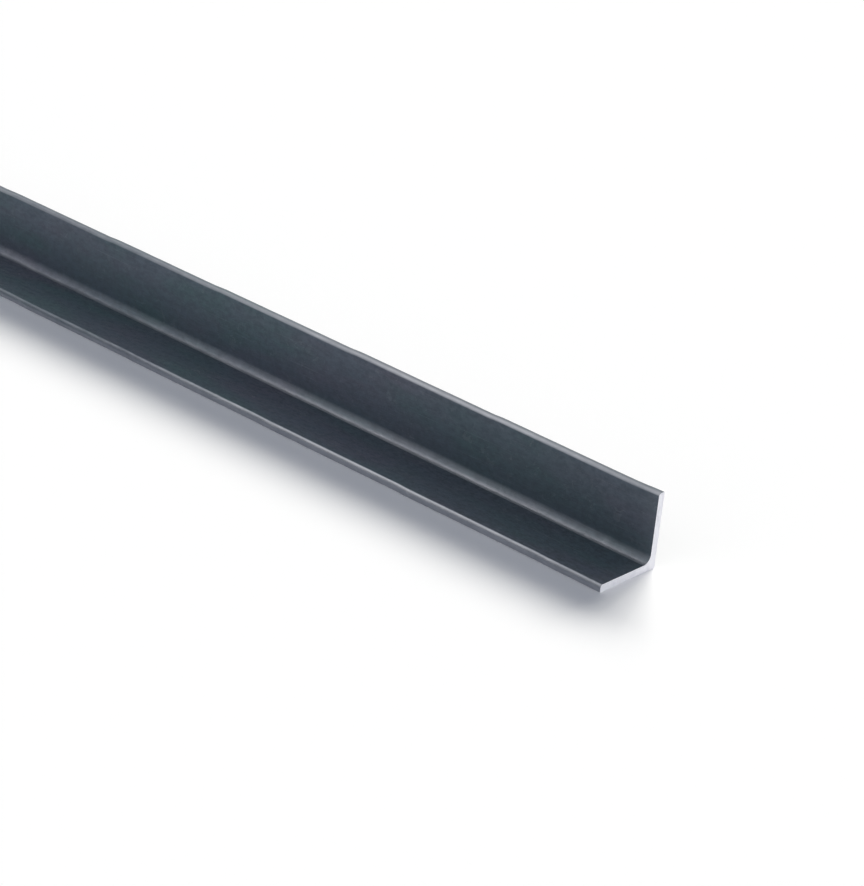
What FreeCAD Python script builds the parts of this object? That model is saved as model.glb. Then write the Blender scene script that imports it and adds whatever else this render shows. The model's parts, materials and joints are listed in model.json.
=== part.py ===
# Hot-rolled equal-leg steel angle section, sold as a straight 6 m bar with square sawn ends.
# It lies on one leg, as it is stored: the flat leg is on the floor and the upright leg stands
# at its back edge. The whole bar is one rolled piece, so it is one solid.
# Frame in millimetres: X along the bar, Y across it towards the upright leg, Z up.
# The origin is at mid-length, under the middle of the flat leg, on the floor.
import FreeCAD, Part

import math
import os

# Driving dimensions
length = 6000.0  # stock length, between the sawn ends
flat_leg = 50.0  # outside width of the leg on the floor
upright_leg = 50.0  # outside height of the standing leg
thickness = 5.0  # both legs, the same from root to toe
root_radius = 5.5  # fillet in the inside corner
toe_radius = 1.8  # round on the inside edge of each toe
heel_radius = 0.8  # outside corner where the legs meet
arris_radius = 0.4  # outside edge of each toe

# A toe's two rounds share the leg's thickness, with some square land between them.
toe_round = min(toe_radius, thickness - 2 * arris_radius)

# Where the section's faces lie
heel_y = flat_leg / 2
toe_y = heel_y - flat_leg
inner_y = heel_y - thickness
inner_z = thickness

# Corners of the section in order round it, from the heel, each with the radius that rounds it
section_corners = [
    (heel_y, 0.0, heel_radius),
    (heel_y, upright_leg, arris_radius),
    (inner_y, upright_leg, toe_round),
    (inner_y, inner_z, root_radius),
    (toe_y, inner_z, toe_round),
    (toe_y, 0.0, arris_radius),
]


def section_point(y, z):
    """A point of the section, in the plane of the bar's far end."""
    return FreeCAD.Vector(-length / 2, y, z)


def rounded_corner(before, corner, after):
    """Start, middle and end of the arc that rounds a corner and is tangent to both its sides."""
    here = section_point(corner[0], corner[1])
    radius = corner[2]
    to_before = (section_point(before[0], before[1]) - here).normalize()
    to_after = (section_point(after[0], after[1]) - here).normalize()
    half_angle = to_before.getAngle(to_after) / 2
    setback = radius / math.tan(half_angle)
    to_centre = (to_before + to_after).normalize()
    nearest = radius / math.sin(half_angle) - radius
    return here + to_before * setback, here + to_centre * nearest, here + to_after * setback


def section_face(corners):
    """The angle's cross-section as a face: straight sides joined by tangent arcs."""
    count = len(corners)
    arcs = [
        rounded_corner(corners[i - 1], corners[i], corners[(i + 1) % count])
        for i in range(count)
    ]
    edges = []
    for i in range(count):
        start, middle, end = arcs[i]
        next_start = arcs[(i + 1) % count][0]
        edges.append(Part.Arc(start, middle, end).toShape())
        edges.append(Part.LineSegment(end, next_start).toShape())
    return Part.Face(Part.Wire(edges))


def rolled_bar():
    """The section carried straight along the bar's length and cut square at both ends."""
    return section_face(section_corners).extrude(FreeCAD.Vector(length, 0, 0))


os.makedirs("parts", exist_ok=True)
angle_bar = rolled_bar()
angle_bar.exportStep("parts/angle_bar.step")
print("section area", round(angle_bar.Volume / length, 2), "mm2")
print("volume", round(angle_bar.Volume), "mm3, valid", angle_bar.isValid())
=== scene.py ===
import json
import math

import bpy
import numpy as np
from mathutils import Matrix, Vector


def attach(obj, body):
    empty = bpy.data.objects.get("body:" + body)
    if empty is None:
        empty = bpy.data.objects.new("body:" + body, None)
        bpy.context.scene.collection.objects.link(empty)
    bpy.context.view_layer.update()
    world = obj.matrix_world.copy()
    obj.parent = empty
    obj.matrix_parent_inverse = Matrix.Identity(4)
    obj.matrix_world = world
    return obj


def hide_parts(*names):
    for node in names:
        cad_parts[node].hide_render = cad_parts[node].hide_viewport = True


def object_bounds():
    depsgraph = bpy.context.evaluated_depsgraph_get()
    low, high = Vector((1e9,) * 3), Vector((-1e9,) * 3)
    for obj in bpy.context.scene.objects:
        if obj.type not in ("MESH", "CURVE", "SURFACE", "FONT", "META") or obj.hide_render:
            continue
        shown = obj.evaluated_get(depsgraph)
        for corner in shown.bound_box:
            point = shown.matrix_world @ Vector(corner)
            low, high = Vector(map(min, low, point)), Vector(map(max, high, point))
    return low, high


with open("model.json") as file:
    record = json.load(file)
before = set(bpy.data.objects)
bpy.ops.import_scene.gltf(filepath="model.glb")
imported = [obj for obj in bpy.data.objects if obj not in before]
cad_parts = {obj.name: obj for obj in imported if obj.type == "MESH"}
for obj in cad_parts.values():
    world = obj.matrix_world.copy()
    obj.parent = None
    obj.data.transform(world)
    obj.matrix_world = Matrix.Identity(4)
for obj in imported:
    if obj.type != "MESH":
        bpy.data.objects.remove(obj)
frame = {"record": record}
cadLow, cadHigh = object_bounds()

# A 6 m bar of hot-rolled steel angle, 50 x 50 x 5 mm, lying on one leg. Metres throughout.
# X runs along the bar to the end that the camera sees, Y across it to the upright leg, Z up.

# Shader graphs as arithmetic

mixSockets = {"factor": 0, "first": 6, "second": 7, "result": 2}  # the colour sockets of a Mix node


class Wire:
    # One socket of a node tree. Arithmetic on wires and numbers adds Math nodes to that tree.

    def __init__(self, tree, socket):
        self.tree = tree
        self.socket = socket

    def node(self, kind, settings, sockets, output=0):
        # Adds any node: first its settings, then the values or links of its sockets
        made = self.tree.nodes.new(kind)
        for name, value in settings.items():
            setattr(made, name, value)
        for name, value in sockets.items():
            if isinstance(value, Wire):
                self.tree.links.new(value.socket, made.inputs[name])
            else:
                made.inputs[name].default_value = value
        return Wire(self.tree, made.outputs[output]) if made.outputs else None

    def other(self, output):
        # Another output of the node that this wire leaves
        return Wire(self.tree, self.socket.node.outputs[output])

    def math(self, operation, first, second):
        # One Math node of two values
        return self.node("ShaderNodeMath", {"operation": operation}, {0: first, 1: second})

    def __add__(self, value):
        return self.math("ADD", self, value)

    def __sub__(self, value):
        return self.math("SUBTRACT", self, value)

    def __rsub__(self, value):
        return self.math("SUBTRACT", value, self)

    def __mul__(self, value):
        return self.math("MULTIPLY", self, value)

    __radd__ = __add__
    __rmul__ = __mul__

    def size(self):
        # This wire without its sign
        return self.node("ShaderNodeMath", {"operation": "ABSOLUTE"}, {0: self})

    def wave(self, length, peak=0.0):
        # Swings between -1 and 1 as a cosine of this wire: 1 at peak, and again every length
        turn = (self - peak) * (2 * math.pi / length)
        return self.node("ShaderNodeMath", {"operation": "COSINE"}, {0: turn})

    def atMost(self, value):
        return self.math("MINIMUM", self, value)

    def orElse(self, value):
        return self.math("MAXIMUM", self, value)

    def stretched(self, x, y, z):
        # A vector times a constant vector
        return self.node("ShaderNodeVectorMath", {"operation": "MULTIPLY"}, {0: self, 1: (x, y, z)})

    def noise(self, scale, detail, roughness=0.5, distortion=0.0):
        # Noise at this place, about 0.5 on average; a scale of 100 has blobs about 10 mm across
        sockets = {"Vector": self, "Scale": scale, "Detail": detail}
        sockets.update({"Roughness": roughness, "Distortion": distortion})
        return self.node("ShaderNodeTexNoise", {"noise_dimensions": "3D"}, sockets)

    def eased(self, low, high):
        # 0 up to low, 1 from high on, and smooth in between
        return self.node(
            "ShaderNodeMapRange",
            {"interpolation_type": "SMOOTHSTEP"},
            {"Value": self, "From Min": low, "From Max": high, "To Min": 0.0, "To Max": 1.0},
        )

    def between(self, first, second):
        # A colour that goes from first to second as this wire goes from 0 to 1
        return self.node(
            "ShaderNodeMix",
            {"data_type": "RGBA"},
            {mixSockets["factor"]: self, mixSockets["first"]: first, mixSockets["second"]: second},
            mixSockets["result"],
        )

    def asHeight(self, strength, depth):
        # Normals that tilt as if the surface rose by this wire times depth
        return self.node("ShaderNodeBump", {}, {"Strength": strength, "Distance": depth, "Height": self})


def startMaterial(name):
    # An empty material, with its object coordinates as the first wire
    material = bpy.data.materials.new(name)
    material.use_nodes = True
    tree = material.node_tree
    tree.nodes.clear()
    coordinates = tree.nodes.new("ShaderNodeTexCoord")
    return material, Wire(tree, coordinates.outputs["Object"])


def finishMaterial(place, shaderSockets):
    # Ends the graph in one Principled shader
    shader = place.node("ShaderNodeBsdfPrincipled", {}, shaderSockets)
    place.node("ShaderNodeOutputMaterial", {}, {"Surface": shader})


def placed(name, data):
    # A new object of the scene, made of this mesh, camera or light
    made = bpy.data.objects.new(name, data)
    bpy.context.scene.collection.objects.link(made)
    return made


# Camera: it stands where the photograph's did, found from the bar's long edges and its sawn end

photoView = {
    "imageSize": (864, 886),  # px
    "azimuth": 40.07,  # degrees round the bar, 0 looks along +Y
    "elevation": 25.03,
    "roll": 5.92,
    "focalLength": 3068.8,  # px, of the photograph's own frame
    "endPixel": (627.3, 580.45),  # where the middle of the sawn end's foot shows
    "endDepth": 1.779,  # m from the camera to that point, along the line of sight
    "sensor": 36.0,  # mm, across the image's longer side
    "clip": (0.05, 500.0),  # m, the nearest and farthest that is drawn
}


def makeCamera(view):
    # Turns the view's three angles into axes, then steps back from the sawn end's foot along them
    azimuth, elevation, roll = (math.radians(view[k]) for k in ("azimuth", "elevation", "roll"))
    back = np.array([
        math.sin(azimuth) * math.cos(elevation),
        -math.cos(azimuth) * math.cos(elevation),
        math.sin(elevation),
    ])
    level = np.cross([0.0, 0.0, 1.0], back)
    level /= np.linalg.norm(level)
    upright = np.cross(back, level)
    right = math.cos(roll) * level + math.sin(roll) * upright
    up = math.cos(roll) * upright - math.sin(roll) * level
    width, height = view["imageSize"]
    perPixel = view["endDepth"] / view["focalLength"]
    aside = (view["endPixel"][0] - width / 2) * perPixel
    below = (view["endPixel"][1] - height / 2) * perPixel
    foot = np.array([cadHigh.x, (cadLow.y + cadHigh.y) / 2, cadLow.z])
    position = foot - aside * right + below * up + view["endDepth"] * back

    lens = bpy.data.cameras.new("photoCamera")
    lens.sensor_width = view["sensor"]
    lens.lens = view["focalLength"] * view["sensor"] / max(view["imageSize"])
    lens.clip_start, lens.clip_end = view["clip"]
    camera = placed("photoCamera", lens)
    axes = np.eye(4)
    axes[:3, 0], axes[:3, 1], axes[:3, 2], axes[:3, 3] = right, up, back, position
    camera.matrix_world = Matrix(axes.tolist())
    bpy.context.scene.camera = camera
    print("camera: lens", round(lens.lens, 1), "mm at", [round(float(p), 3) for p in position])


makeCamera(photoView)


# The bar: the rolled section, carried along the whole length and sawn square

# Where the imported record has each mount: the legs' inner faces give their thickness
mountPlaces = {mount["name"]: mount["pos_m"] for mount in frame["record"]["mounts"]}

bar = {
    "thickness": mountPlaces["flat_leg_inner_face"][2] - cadLow.z,  # both legs, as in the solid
    "rootRadius": 0.0055,  # inside corner
    "toeRadius": 0.0018,  # inside edge of each toe
    "heelRadius": 0.0008,  # outside corner
    "arrisRadius": 0.0004,  # outside edge of each toe
    "outerRunSteps": 18,  # mesh steps along each outside face
    "innerRunSteps": 14,  # along each inside face
    "heelSteps": 8,
    "rootSteps": 16,
    "toeSteps": 10,
    "landSteps": 2,  # the flat part of a toe, between its two rounds
    "arrisSteps": 4,
    "sawBreak": 0.00007,  # the narrow bevel where the saw cut is wiped clean
    "rowPitchEnds": 0.0019,  # spacing of the mesh rows by the sawn ends
    "rowPitchMiddle": 0.0145,  # and away from them
    "fineStretchNear": 0.62,  # how far the fine rows reach from the end that the camera sees
    "fineStretchFar": 0.05,  # and from the other
    "fineFall": 4,  # how suddenly they stop there
    "rowSamples": 6001,  # places at which the rows' density is worked out
    "capBlend": 0.010,  # how far into the leg a toe's contour shapes the cut face's grid
    "sharpAngle": 38.0,  # degrees; the shading breaks at a sharper edge than this
    "seed": 41,
}

relief = {
    "toeSway": 0.00020,  # a rolled toe is never dead straight
    "toeSwayWaves": (0.9, 0.37, 0.16, 0.071, 0.029),  # wavelengths, m
    "toeSwayFade": 0.45,  # how much weaker the shorter ones are
    "kinkFirst": (0.008, 0.046),  # first small step in the top edge and in the toe, from the sawn end
    "kinkGap": (0.100, 0.124),  # then one each so often
    "kinkDepth": (0.00034, 0.00052),
    "kinkEase": 0.008,  # the length over which each steps back up
    "toeReach": 0.009,  # the sway fades out over this much of the leg
    "cutCalm": 0.02,  # and all relief over this much of the bar's length, up to a cut
    "skinDepth": 0.00007,  # rolled-in scale
    "skinCell": (0.011, 0.006),  # along and across, m
    "grainDepth": 0.00003,
    "grainCell": (0.004, 0.0026),
    "nickCount": 90,  # handling marks on the toes
    "nickDepth": (0.00008, 0.00032),
    "nickLength": (0.0015, 0.0055),
    "nickWidth": (0.0008, 0.0022),
    "nickScatter": 0.0012,  # how far they stray from a toe's middle
    "sawWave": 0.00004,  # depth of the saw's sweeps on the cut ends
    "sawPitch": 0.0042,
    "sawCentre": (-0.21, 0.16),  # the blade's hub, (Y, Z)
}

# Rub, painted highlights and painted shade across the section
wearAndPaintedLight = {
    "toeFacing": (0.0, 32.0),  # a toe's inside round goes from scale to full rub and painted highlight between these, degrees
    "topRub": ((0.0, 0.0), (0.2, 0.12), (0.5, 0.85), (0.7, 1.0)),  # (share of the way in, rub and painted highlight)
    "flatRub": ((0.35, 0.0), (0.6, 1.0)),  # the same across the flat leg's toe, from below
    "rootRub": (  # (degrees the fillet faces above level, share of painted highlight): the fillet's stripe of reflection, painted as pale rubbed steel
        (0.0, 0.0), (8.0, 0.05), (18.0, 0.15), (30.0, 0.19), (45.0, 0.22),
        (56.0, 0.43), (65.0, 0.88), (72.0, 1.0), (84.0, 1.0), (90.0, 0.78),
    ),
    "cornerMost": 0.22,  # how dark the painted shade on the flat leg is beside the root
    "cornerReach": 0.007,  # and how far that painted shade reaches over the leg
}


def easeSteps(count):
    # 0 to 1 in steps that are short at both ends: half a cosine wave
    return (1 - np.cos(np.linspace(0, math.pi, count + 1))) / 2


def smoothed(share):
    # A share from 0 to 1 that levels off at both ends: three times its square less twice its cube
    return share * share * (3 - 2 * share)


def sectionSides(shape):
    # The section's outline as four sides, each an array of (y, z, normal y, normal z).
    # A side is straight runs joined by arcs: an arc's point is its centre less the two leg
    # directions, times the radius and the cosine and sine of the angle turned.
    heelY, toeY = cadHigh.y, cadLow.y
    footZ, topZ = cadLow.z, cadHigh.z
    innerY, innerZ = heelY - shape["thickness"], footZ + shape["thickness"]
    corners = {
        "flatArris": ((toeY, footZ), (0, 1), (1, 0), shape["arrisRadius"], shape["arrisSteps"], 1),
        "heel": ((heelY, footZ), (-1, 0), (0, 1), shape["heelRadius"], shape["heelSteps"], 1),
        "topArris": ((heelY, topZ), (0, -1), (-1, 0), shape["arrisRadius"], shape["arrisSteps"], 1),
        "topToe": ((innerY, topZ), (1, 0), (0, -1), shape["toeRadius"], shape["toeSteps"], 1),
        "root": ((innerY, innerZ), (0, 1), (-1, 0), shape["rootRadius"], shape["rootSteps"], -1),
        "flatToe": ((toeY, innerZ), (1, 0), (0, -1), shape["toeRadius"], shape["toeSteps"], 1),
    }

    def arc(name):
        # A quarter turn round the named corner
        corner, before, after, radius, steps, outward = corners[name]
        before, after = np.array(before, float), np.array(after, float)
        turned = np.linspace(0, math.pi / 2, steps + 1)[:, None]
        spoke = -after * np.cos(turned) - before * np.sin(turned)
        centre = np.array(corner) + (before + after) * radius
        return np.hstack([centre + spoke * radius, spoke * outward])

    def run(first, second, steps):
        # The straight stretch from one arc to the next, without its two ends
        start, end = arcs[first][-1, :2], arcs[second][0, :2]
        along = end - start
        points = start + along * easeSteps(shape[steps])[1:-1, None]
        facing = np.array([along[1], -along[0]]) / np.linalg.norm(along)
        return np.hstack([points, np.repeat(facing[None], len(points), 0)])

    arcs = {name: arc(name) for name in corners}
    outer = [arcs["flatArris"][-1:], run("flatArris", "heel", "outerRunSteps"), arcs["heel"]]
    outer += [run("heel", "topArris", "outerRunSteps"), arcs["topArris"][:1]]
    top = [arcs["topArris"], run("topArris", "topToe", "landSteps"), arcs["topToe"]]
    inner = [arcs["topToe"][-1:], run("topToe", "root", "innerRunSteps"), arcs["root"]]
    inner += [run("root", "flatToe", "innerRunSteps"), arcs["flatToe"][:1]]
    toe = [arcs["flatToe"], run("flatToe", "flatArris", "landSteps"), arcs["flatArris"]]
    return [np.vstack(side) for side in (outer, top, inner, toe)]


def rowPlaces(shape):
    # X of each mesh row. The rows' pitch widens smoothly away from each sawn end, and a row
    # stands wherever the summed-up density passes a whole number.
    places = np.linspace(cadLow.x, cadHigh.x, shape["rowSamples"])
    fall = shape["fineFall"]
    near = np.exp(-((cadHigh.x - places) / shape["fineStretchNear"]) ** fall)
    far = np.exp(-((places - cadLow.x) / shape["fineStretchFar"]) ** fall)
    nearness = np.maximum(near, far)
    pitch = shape["rowPitchMiddle"] + (shape["rowPitchEnds"] - shape["rowPitchMiddle"]) * nearness
    density = 1 / pitch
    summed = np.concatenate([[0], np.cumsum((density[1:] + density[:-1]) / 2 * np.diff(places))])
    count = int(round(summed[-1]))
    rows = np.interp(np.linspace(0, summed[-1], count + 1), summed, places)
    inset = shape["sawBreak"]
    return np.concatenate([[cadLow.x], [cadLow.x + inset], rows[1:-1], [cadHigh.x - inset], [cadHigh.x]])


def gridNoise(dice, along, around, cell, girth):
    # Random heights on a grid of cells, eased between its corners, and closed round the girth
    across = max(3, int(round(girth / cell[1])))
    u = (along - along.min()) / cell[0]
    v = around / girth * across
    heights = dice.random((int(u.max()) + 3, across))
    i, j = np.floor(u).astype(int), np.floor(v).astype(int)
    s, t = smoothed(u - i), smoothed(v - j)
    near = heights[i[:, None], j[None, :] % across]
    right = heights[i[:, None], (j[None, :] + 1) % across]
    ahead = heights[i[:, None] + 1, j[None, :] % across]
    both = heights[i[:, None] + 1, (j[None, :] + 1) % across]
    s, t = s[:, None], t[None, :]
    return near * (1 - s) * (1 - t) + ahead * s * (1 - t) + right * (1 - s) * t + both * s * t


def sway(dice, along, marks):
    # A sum of sine waves with chance phases, shorter ones weaker, brought to between 0 and 1
    waves = marks["toeSwayWaves"]
    phases = dice.random(len(waves)) * 2 * math.pi
    total = sum(
        (wave / waves[0]) ** marks["toeSwayFade"] * np.sin(2 * math.pi * along / wave + phase)
        for wave, phase in zip(waves, phases)
    )
    return (total - total.min()) / (total.max() - total.min())


def kinks(dice, along, first, marks):
    # A saw-tooth wave of uneven steps: the edge sinks slowly towards +X, then steps back up
    gaps = dice.uniform(*marks["kinkGap"], int(math.ceil((cadHigh.x - cadLow.x) / marks["kinkGap"][0])))
    spots = cadHigh.x - first - np.cumsum(gaps) + gaps[0]
    depths = dice.uniform(*marks["kinkDepth"], len(spots))
    ease = marks["kinkEase"]
    knots = np.column_stack([spots[::-1] - ease / 2, spots[::-1] + ease / 2]).ravel()
    sunk = np.column_stack([depths, 0 * depths]).ravel()
    return np.interp(along, knots, sunk, left=0.0, right=0.0)


def nicks(dice, along, around, girth, toeSpots, marks):
    # Dents, each a round-backed hollow: a bell curve along the bar times one round the section
    depth = np.zeros((len(along), len(around)))
    low, high = along.min(), along.max()
    for count in range(marks["nickCount"]):
        x = dice.uniform(low, high)
        spot = toeSpots[count % len(toeSpots)] + dice.normal(0, marks["nickScatter"])
        length, width = dice.uniform(*marks["nickLength"]), dice.uniform(*marks["nickWidth"])
        deep = dice.uniform(*marks["nickDepth"])
        away = (around - spot + girth / 2) % girth - girth / 2
        depth += deep * np.exp(-((along[:, None] - x) / length) ** 2) * np.exp(-(away[None, :] / width) ** 2)
    return depth


def capPoints(outer, top, inner, toe, reach):
    # The cut face as a grid. A point lies on the line from the outer side to the inner side, and
    # near a toe it is pushed out to the toe's own contour, less and less over reach.
    inner = inner[::-1]
    toe = toe[::-1]
    share = np.linspace(0, 1, len(top))[None, :, None]
    grid = outer[:, None] * (1 - share) + inner[:, None] * share
    for contour, end in ((toe, 0), (top, -1)):
        straight = grid[end]
        away = np.linalg.norm(outer - outer[end], axis=1) / reach
        hold = np.clip(1 - away, 0, 1)[:, None, None] ** 2
        grid = grid + (contour - straight)[None] * hold
    return grid


def wearAndLightShares(shape, outline, normal):
    # How far each point of the section is rubbed or carries painted light, from 0 to 1.
    # toeRub follows topRub or flatRub across a toe, and eases out over
    # the toe's inside round as it turns into the leg's face: rub and painted highlight. faceRub
    # is what these stops leave of the flat leg's toe, eased out in the same way: rub and painted reflection.
    # rootRub is painted highlight; it follows its own stops, by the degrees that the root fillet faces
    # above level. corner is painted shade; it falls over the flat leg in a straight line, from cornerMost
    # beside the root to 0 at cornerReach.
    y, z = outline[:, 0], outline[:, 1]
    thickness, root, toe = shape["thickness"], shape["rootRadius"], shape["toeRadius"]
    innerY, innerZ = cadHigh.y - thickness, cadLow.z + thickness
    rootEnd = innerY - root
    hair, outside = 1e-6, 0.99  # m, when places are compared; and how squarely an outer face looks out
    facing = np.degrees(np.arctan2(normal[:, 1], -normal[:, 0]))
    onTop = (z > cadHigh.z - toe - hair) & (normal[:, 0] < outside)
    onFlat = (y < cadLow.y + toe + hair) & (normal[:, 1] > -outside)
    toeRub, faceRub = np.zeros(len(outline)), np.zeros(len(outline))
    # Rub and painted highlight on the toes, by how far in and how far round each point lies
    for onToe, inwards, turn, stops in (
        (onTop, (cadHigh.y - y) / thickness, facing, wearAndPaintedLight["topRub"]),
        (onFlat, (z - cadLow.z) / thickness, 90 - facing, wearAndPaintedLight["flatRub"]),
    ):
        low, high = wearAndPaintedLight["toeFacing"]
        share = onToe * smoothed(np.clip((turn - low) / (high - low), 0, 1))
        rubAndHighlight = np.interp(inwards, *zip(*stops))
        toeRub += share * rubAndHighlight
        # Rub and painted reflection: the flat toe's face is painted paler than the web, though both face the
        # same way
        faceRub += onFlat * share * (1 - rubAndHighlight)
    # Painted highlight: the root fillet is painted as pale rubbed steel, by the angle it faces, where its
    # reflection shows a bright stripe
    inRoot = (y > rootEnd - hair) & (y < innerY + hair)
    inRoot &= (z < innerZ + root + hair) & (z > innerZ - hair)
    rootRub = inRoot * np.interp(facing, *zip(*wearAndPaintedLight["rootRub"]))
    # Painted shade: the flat leg beside the root is darkened, and made less metallic
    onLeg = (y < rootEnd - hair) & (np.abs(z - innerZ) < hair)
    corner = onLeg * wearAndPaintedLight["cornerMost"] * np.clip(1 - (rootEnd - y) / wearAndPaintedLight["cornerReach"], 0, 1)
    return {"toeRub": toeRub, "faceRub": faceRub, "rootRub": rootRub, "corner": corner}


def barSkin(shape, marks, section, sideStarts, rows):
    # A ring of the section at every row, each point sunk along the section's normal by its
    # relief. The toes also sway and step inwards. All of this fades out up to a cut, where the
    # ring is drawn in by the saw's narrow bevel.
    dice = np.random.default_rng(shape["seed"])
    outline, normal = section[:, :2], section[:, 2:]
    steps = np.linalg.norm(np.roll(outline, -1, 0) - outline, axis=1)
    girth = steps.sum()
    around = np.concatenate([[0], np.cumsum(steps)[:-1]])

    # How much each point belongs to the top toe and to the flat leg's toe
    reach = marks["toeReach"]
    topHold = smoothed(np.clip(1 - (cadHigh.z - outline[:, 1] - shape["toeRadius"]) / reach, 0, 1))
    flatHold = smoothed(np.clip(1 - (outline[:, 0] - cadLow.y - shape["toeRadius"]) / reach, 0, 1))

    depth = marks["skinDepth"] * gridNoise(dice, rows, around, marks["skinCell"], girth)
    depth += marks["grainDepth"] * gridNoise(dice, rows, around, marks["grainCell"], girth)
    toeMiddles = [(sideStarts[k] + sideStarts[k + 1]) // 2 for k in (1, 3)]
    depth += nicks(dice, rows, around, girth, around[toeMiddles], marks)
    calm = np.clip(np.minimum(rows - rows[0], rows[-1] - rows) / marks["cutCalm"], 0, 1)
    depth *= calm[:, None]
    depth[[0, -1]] += shape["sawBreak"]

    skin = np.empty((len(rows), len(section), 3))
    skin[:, :, 0] = rows[:, None]
    skin[:, :, 1:] = outline[None] - normal[None] * depth[:, :, None]
    for axis, direction, hold, first in ((2, -1, topHold, 0), (1, 1, flatHold, 1)):
        sunk = marks["toeSway"] * sway(dice, rows, marks)
        sunk += kinks(dice, rows, marks["kinkFirst"][first], marks)
        skin[:, :, axis] += direction * (sunk * calm)[:, None] * hold[None]
    return skin


def sawnEnd(ring, index, sides, outwards, firstNew, reach, marks):
    # One cut face: its new inner points, and its four-sided cells. The grid's border is the
    # skin's last ring. The inner points are sunk in sweeps, a sine of the distance from the
    # saw blade's hub.
    outer, top, inner, toe = sides
    plan = capPoints(*(ring[side, 1:] for side in sides), reach)
    across, through = plan.shape[:2]
    cap = np.empty((across, through), int)
    cap[:, 0], cap[-1, :] = index[outer], index[top]
    cap[:, -1], cap[0, :] = index[inner[::-1]], index[toe[::-1]]
    inside = plan[1:-1, 1:-1].reshape(-1, 2)
    cap[1:-1, 1:-1] = firstNew + np.arange(len(inside)).reshape(across - 2, through - 2)
    sweep = np.linalg.norm(inside - np.array(marks["sawCentre"]), axis=1)
    sunk = marks["sawWave"] * (1 + np.sin(2 * math.pi * sweep / marks["sawPitch"])) / 2
    cells = np.stack([cap[:-1, :-1], cap[1:, :-1], cap[1:, 1:], cap[:-1, 1:]], 2).reshape(-1, 4)
    return np.column_stack([ring[0, 0] - outwards * sunk, inside]), cells[:, ::outwards]


def makeBar(shape, marks):
    # The skin's rings joined into four-sided cells from row to row, and closed at each sawn end.
    # The cut faces and the bevels beside them have the second finish.
    sides = sectionSides(shape)
    section = np.vstack([side[:-1] for side in sides])
    sideStarts = np.cumsum([0] + [len(side) - 1 for side in sides])
    skin = barSkin(shape, marks, section, sideStarts, rowPlaces(shape))
    rowCount, ringCount = skin.shape[:2]
    index = np.arange(rowCount * ringCount).reshape(rowCount, ringCount)
    here, ahead = index[:-1], index[1:]
    points = [skin.reshape(-1, 3)]
    quads = [np.stack([here, np.roll(here, -1, 1), np.roll(ahead, -1, 1), ahead], 2).reshape(-1, 4)]
    bevel = np.zeros((rowCount - 1, ringCount), bool)
    bevel[[0, -1]] = True
    sawn = [bevel.ravel()]

    closed = np.append(np.arange(ringCount), 0)
    borders = [closed[sideStarts[k]:sideStarts[k + 1] + 1] for k in range(len(sides))]
    for row, outwards in ((0, -1), (-1, 1)):
        firstNew = sum(len(block) for block in points)
        inside, cells = sawnEnd(skin[row], index[row], borders, outwards, firstNew, shape["capBlend"], marks)
        points.append(inside)
        quads.append(cells)
        sawn.append(np.ones(len(cells), bool))
    newCount = sum(len(block) for block in points[1:])

    piece = meshPiece("angleBar", np.vstack(points), np.vstack(quads))
    for name, share in wearAndLightShares(shape, section[:, :2], section[:, 2:]).items():
        everywhere = np.concatenate([np.tile(share, rowCount), np.zeros(newCount)])
        layer = piece.data.attributes.new(name, "FLOAT", "POINT")
        layer.data.foreach_set("value", everywhere.astype(np.float32))
    piece.data.polygons.foreach_set("material_index", np.concatenate(sawn).astype(np.int32))
    piece.data.set_sharp_from_angle(angle=math.radians(shape["sharpAngle"]))
    print("bar:", rowCount, "rows of", ringCount, "points,", 2 * len(piece.data.polygons), "triangles")
    return piece


def meshPiece(name, points, quads):
    # A mesh object at the origin from whole arrays of points and of four-sided faces
    mesh = bpy.data.meshes.new(name)
    mesh.vertices.add(len(points))
    mesh.vertices.foreach_set("co", points.astype(np.float32).ravel())
    mesh.loops.add(quads.size)
    mesh.loops.foreach_set("vertex_index", quads.astype(np.int32).ravel())
    mesh.polygons.add(len(quads))
    mesh.polygons.foreach_set("loop_start", np.arange(0, quads.size, 4, dtype=np.int32))
    mesh.update(calc_edges=True)
    mesh.validate()
    mesh.shade_smooth()
    return placed(name, mesh)


# Finishes

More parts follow.
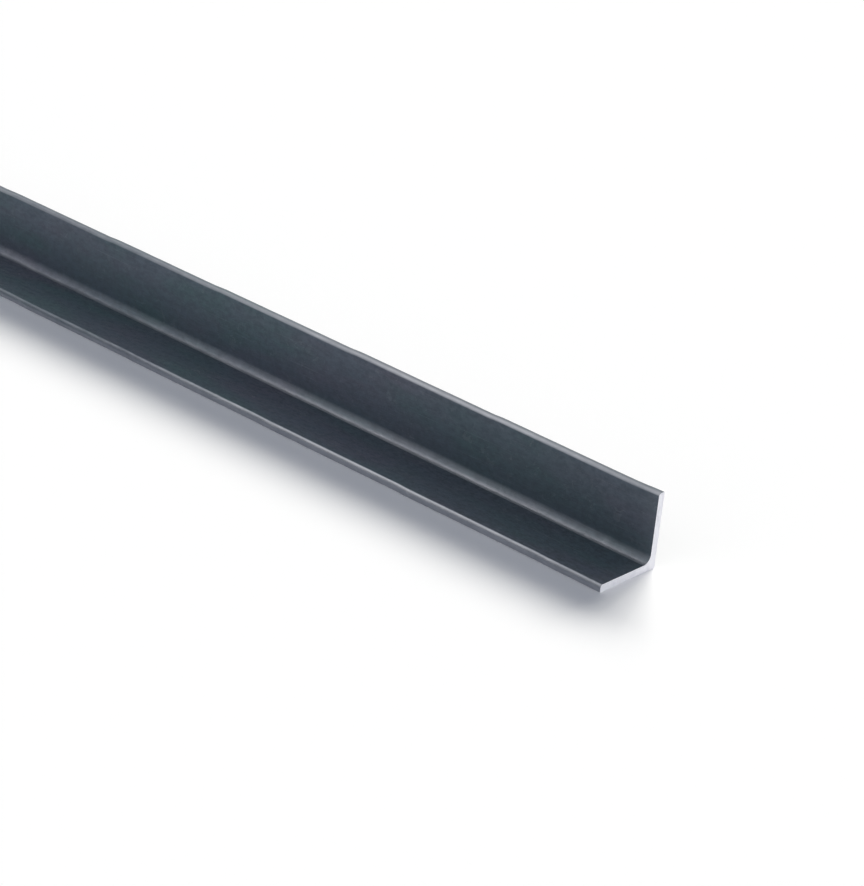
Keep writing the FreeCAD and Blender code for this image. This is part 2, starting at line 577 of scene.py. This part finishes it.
millScale = {
    "colour": (0.104, 0.136, 0.175, 1.0),  # blue-grey rolling scale
    "violet": (0.132, 0.136, 0.182, 1.0),  # its two slight tints
    "green": (0.084, 0.143, 0.158, 1.0),
    "dark": (0.052, 0.068, 0.086, 1.0),  # its grain, and its darker lengths
    "corner": (0.020, 0.025, 0.032, 1.0),  # painted shade: a near-black put on the flat leg where it meets the root
    "worn": (0.455, 0.47, 0.51, 1.0),  # where the scale is rubbed through to grey steel, and the colour of the painted highlights
    "metallic": 0.35,
    "roughness": 0.42,
    "bump": (0.4, 0.0005),  # strength, and depth in m
    "cutReach": 0.016,  # the scale is a little paler this near a saw cut
    "flatHeights": (0.0056, 0.0075),  # the flat leg's finish gives way to the upright's between these Z
    "flatAcross": (0.016, 0.021),  # and between these Y
    "paleWaves": ((0.60, 0.17, 0.65), (1.31, 0.18, 0.35)),  # wave, first place of painted highlight from the cut, share: lengths where the toes and root are painted brighter
    "darkWaves": ((1.15, 0.0, 0.7), (0.47, 0.05, 0.3)),  # the same for darker lengths
    "patterns": {  # (stretch along the bar, scale, detail, roughness, distortion), and the ends of its ease
        "cloud": ((0.3, 30.0, 3.0), None),
        "patches": ((0.3, 75.0, 5.0, 0.6), (0.3, 0.7)),
        "streaks": ((0.02, 700.0, 3.0), None),
        "specks": ((1.0, 520.0, 4.0, 0.65), (0.6, 0.78)),
        "scuffs": ((0.25, 260.0, 4.0, 0.6), None),
        "grain": ((0.6, 330.0, 5.0, 0.72), (0.3, 0.7)),
        "flakes": ((1.0, 140.0, 6.0, 0.62, 0.6), (0.60, 0.64)),
        "scratches": ((0.008, 1500.0, 2.0), (0.66, 0.74)),
        "pits": ((1.0, 900.0, 3.0, 0.6), None),
        "swell": ((1.0, 240.0, 3.0), None),
    },
    "tintEase": (0.38, 0.62),  # the cloud turns from violet to green between these
    "tintBy": {"always": 0.1, "patches": 0.8},  # how far the tints cover the blue-grey
    "dullBy": {"always": 0.06, "grain": 0.42, "grainOnFlat": 0.5, "dark": 0.2, "onFlat": -0.27},
    "cornerBy": 0.96,  # how much of the painted shade colour the corner takes
    "toeBy": {"always": 0.29, "onFlat": -0.05, "scuffs": 0.72, "pale": 0.30, "paleOnFlat": 0.12},
    "rootBy": {"always": 0.16, "scuffs": 1.20, "pale": 0.45},  # how strongly the painted highlight is laid on in the root
    "faceBy": {"always": 0.50, "scuffs": 0.8},  # the flat toe's face: rub, and painted reflection
    "openBy": {"flakes": 0.10, "scratches": 0.09, "specks": 0.08, "nearCut": 0.07},  # anywhere else
    "roughBy": {"cloud": 0.10, "streaks": 0.12, "grain": 0.16, "always": -0.19},
    "smoothBy": {"worn": 0.04, "corner": 0.14},  # taken off the roughness again
    "heightBy": {"pits": 0.35, "swell": 0.65, "streaks": 0.5, "flakes": -0.35, "scratches": -0.25},
}

sawnSteel = {
    "colour": (0.90, 0.90, 0.935, 1.0),
    "dull": (0.72, 0.72, 0.775, 1.0),
    "metallic": 0.3,
    "roughness": 0.6,
    "dullRoughness": 0.12,  # how much rougher it is where it is dull
    "bump": (0.25, 0.0001),  # strength, and depth in m
    "linePitch": 0.0009,  # between the saw's finest lines
    "lineWander": (220.0, 3.0),  # scale and detail of the noise that bends them
    "clouds": (260.0, 4.0, 0.6),
    "cloudEase": (0.35, 0.75),
    "dullBy": {"always": -0.125, "heelward": 0.5, "clouds": 0.45, "lines": 0.125},
}


def alongBar(x, waves):
    # A sum of cosines of the distance from the sawn end, between -1 and 1
    return sum(x.wave(length, cadHigh.x - peak) * share for length, peak, share in waves)


def blended(shares, wires):
    # A sum: each named wire times its share, and the share called always on top
    parts = (wires[name] * share for name, share in shares.items() if name != "always")
    return sum(parts, shares.get("always", 0.0))


def makeMillScale(look):
    # Blue-grey scale with two tints, a fine dark grain that is stronger on the flat leg, and
    # specks. It is rubbed through on the toes, most of all towards the flat leg, and has painted
    # highlights on the toes and in the root as pale rubbed steel, and painted shade beside the root.
    # The rub and the painted highlights go up and down in lengths along the bar.
    material, place = startMaterial("millScale")
    x = place.node("ShaderNodeSeparateXYZ", {}, {0: place}, "X")
    wires = {
        name: place.node("ShaderNodeAttribute", {"attribute_name": name}, {}, "Fac")
        for name in ("toeRub", "faceRub", "rootRub", "corner")
    }
    for name, ((along, *noise), ends) in look["patterns"].items():
        wires[name] = place.stretched(along, 1.0, 1.0).noise(*noise)
        if ends:
            wires[name] = wires[name].eased(*ends)
    low, across = x.other("Z").eased(*look["flatHeights"]), x.other("Y").eased(*look["flatAcross"])
    wires["onFlat"] = (1 - low) * (1 - across)
    # Painted highlight: lengths along the bar where the toes and root are painted brighter, where a lamp's
    # reflection would fall
    wires["pale"], wires["dark"] = alongBar(x, look["paleWaves"]), alongBar(x, look["darkWaves"])
    wires["flakes"] = wires["flakes"] * wires["patches"]  # scale comes off in patches
    wires["grainOnFlat"] = wires["grain"] * wires["onFlat"]
    wires["paleOnFlat"] = wires["pale"] * wires["onFlat"]
    wires["nearCut"] = 1 - (cadHigh.x - x.size()).eased(0.0, look["cutReach"])
    corner = wires["corner"]

    tint = wires["cloud"].eased(*look["tintEase"]).between(look["violet"], look["green"])
    base = blended(look["tintBy"], wires).between(look["colour"], tint)
    dull = blended(look["dullBy"], wires).atMost(1.0).orElse(0.0)
    base = dull.between(base, look["dark"])
    # Painted shade beside the root, and no metal there
    base = (corner * look["cornerBy"]).between(base, look["corner"])
    # Real wear anywhere, with the painted highlights of the toes and root added on
    worn = blended(look["openBy"], wires) * (1 - corner)
    for rubAndHighlight, by in (("toeRub", "toeBy"), ("rootRub", "rootBy"), ("faceRub", "faceBy")):
        worn = worn + wires[rubAndHighlight] * blended(look[by], wires)
    worn = worn.atMost(1.0).orElse(0.0)
    wires["worn"] = worn
    base = worn.between(base, look["worn"])
    metallic = (look["metallic"] + worn * (1 - look["metallic"])) * (1 - corner)
    roughness = look["roughness"] + blended(look["roughBy"], wires) - blended(look["smoothBy"], wires)
    bump = blended(look["heightBy"], wires).asHeight(*look["bump"])
    finishMaterial(place, {"Base Color": base, "Metallic": metallic, "Roughness": roughness, "Normal": bump})
    return material


def makeSawnSteel(look, marks):
    # Bright steel with dull lines in arcs round the saw blade's hub, duller clouds, and a
    # steady dulling from the flat leg's toe to the heel, which is painted light: the toe's end is kept
    # brighter against the floor's shadow beside it
    material, place = startMaterial("sawnSteel")
    hub = (0.0,) + marks["sawCentre"]
    flat = place.stretched(0.0, 1.0, 1.0)
    sweep = place.node("ShaderNodeVectorMath", {"operation": "DISTANCE"}, {0: flat, 1: hub}, "Value")
    across = place.node("ShaderNodeSeparateXYZ", {}, {0: place}, "Y")
    pitch = look["linePitch"]
    wires = {
        "lines": (sweep + place.noise(*look["lineWander"]) * pitch).wave(pitch),
        "clouds": flat.noise(*look["clouds"]).eased(*look["cloudEase"]),
        # Painted shade rising from the flat leg's toe to the heel, so that the toe's end reads brighter where
        # the floor's shadow falls beside it
        "heelward": (across - cadLow.y) * (1 / (cadHigh.y - cadLow.y)),
    }
    dull = blended(look["dullBy"], wires)
    base = dull.between(look["colour"], look["dull"])
    roughness = look["roughness"] + dull * look["dullRoughness"]
    bump = wires["lines"].asHeight(*look["bump"])
    finishMaterial(place, {
        "Base Color": base, "Metallic": look["metallic"], "Roughness": roughness, "Normal": bump,
    })
    return material


angleBar = makeBar(bar, relief)
angleBar.data.materials.append(makeMillScale(millScale))
angleBar.data.materials.append(makeSawnSteel(sawnSteel, relief))
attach(angleBar, "root")
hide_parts("angle_bar")
print("finishes: mill scale and sawn steel")


# Studio: a white floor, a surround that is white overhead, a broad light behind the upright leg
# made of lamps side by side, a low lamp off the sawn end and a faint one in front

studio = {
    "floorHalfSize": 150.0,
    "floorColour": (1.0, 1.0, 1.0, 1.0),
    "skyFill": (0.138, 0.156, 0.198),  # what the surround gives to plain surfaces
    "horizonGloss": 0.25,  # how bright metal sees the surround at the horizon
    "whiteFrom": 0.8,  # the sine of the elevation from which metal sees it white
    "mainElevation": 28.7,  # degrees
    "mainSwings": (8.0, 20.0, 32.0),  # degrees from +Y towards -X, one for each lamp
    "mainAngle": 14.5,  # degrees across each, which sets the shadow's soft edge
    "otherLamps": {  # level on a surface that faces it, elevation, swing from +Y to -X, angle across
        "sideLamp": (0.51, 8.0, -90.0, 30.0),
        "frontLamp": (0.12, 30.0, 180.0, 60.0),
    },
}


def makeFloor(setting):
    # One large square at the bar's own level, matt and white
    half = setting["floorHalfSize"]
    points = np.array([[-half, -half, 0], [half, -half, 0], [half, half, 0], [-half, half, 0]])
    floor = meshPiece("floor", points, np.array([[0, 1, 2, 3]]))
    material, place = startMaterial("floorPaper")
    finishMaterial(place, {"Base Color": setting["floorColour"], "Roughness": 1.0, "Specular IOR Level": 0.0})
    floor.data.materials.append(material)


def makeSurround(setting):
    # White to the camera, a soft blue-grey fill to plain surfaces. Metal sees it white overhead
    # and darker towards the horizon, as a room is behind the camera.
    world = bpy.data.worlds.new("surround")
    bpy.context.scene.world = world
    world.use_nodes = True
    tree = world.node_tree
    tree.nodes.clear()
    rays = tree.nodes.new("ShaderNodeLightPath")
    camera = Wire(tree, rays.outputs["Is Camera Ray"])
    mirrored = camera.other("Is Glossy Ray").orElse(camera.other("Is Transmission Ray"))
    direction = camera.node("ShaderNodeTexCoord", {}, {}, "Generated")
    height = direction.node("ShaderNodeSeparateXYZ", {}, {0: direction}, "Z")
    low = setting["horizonGloss"]
    gloss = low + height.eased(0.0, setting["whiteFrom"]) * (1 - low)
    white = (1.0, 1.0, 1.0, 1.0)
    room = gloss.between((0.0, 0.0, 0.0, 1.0), white)
    colour = mirrored.between(setting["skyFill"] + (1.0,), room)
    colour = camera.between(colour, white)
    shader = camera.node("ShaderNodeBackground", {}, {"Color": colour, "Strength": 1.0})
    camera.node("ShaderNodeOutputWorld", {}, {"Surface": shader})


def makeLamp(name, level, elevation, swing, angle):
    # A distant round lamp, kept out of reflections. level is what it adds, per channel, to a
    # surface that faces it, and swing turns it from +Y towards -X.
    level = np.array(level)
    light = bpy.data.lights.new(name, "SUN")
    light.angle = math.radians(angle)
    light.energy = float(level.max() * math.pi)
    light.color = tuple(level / level.max())
    lamp = placed(name, light)
    lamp.rotation_euler = (math.radians(elevation - 90), 0.0, math.radians(swing))
    lamp.visible_glossy = False


def makeLamps(setting):
    # The main lamps together make up what the open floor lacks to be white, channel by channel
    onFloor = 0.0
    for name, (level, elevation, swing, angle) in setting["otherLamps"].items():
        makeLamp(name, [level] * 3, elevation, swing, angle)
        onFloor += level * math.sin(math.radians(elevation))
    lacking = np.array([1 - fill - onFloor for fill in setting["skyFill"]])
    elevation, swings = setting["mainElevation"], setting["mainSwings"]
    share = lacking / math.sin(math.radians(elevation)) / len(swings)
    for count, swing in enumerate(swings):
        makeLamp("mainLamp" + str(count + 1), share, elevation, swing, setting["mainAngle"])
    print("lamps:", len(swings) + len(setting["otherLamps"]))


makeFloor(studio)
makeSurround(studio)
makeLamps(studio)
bpy.context.scene.view_settings.view_transform = "Standard"
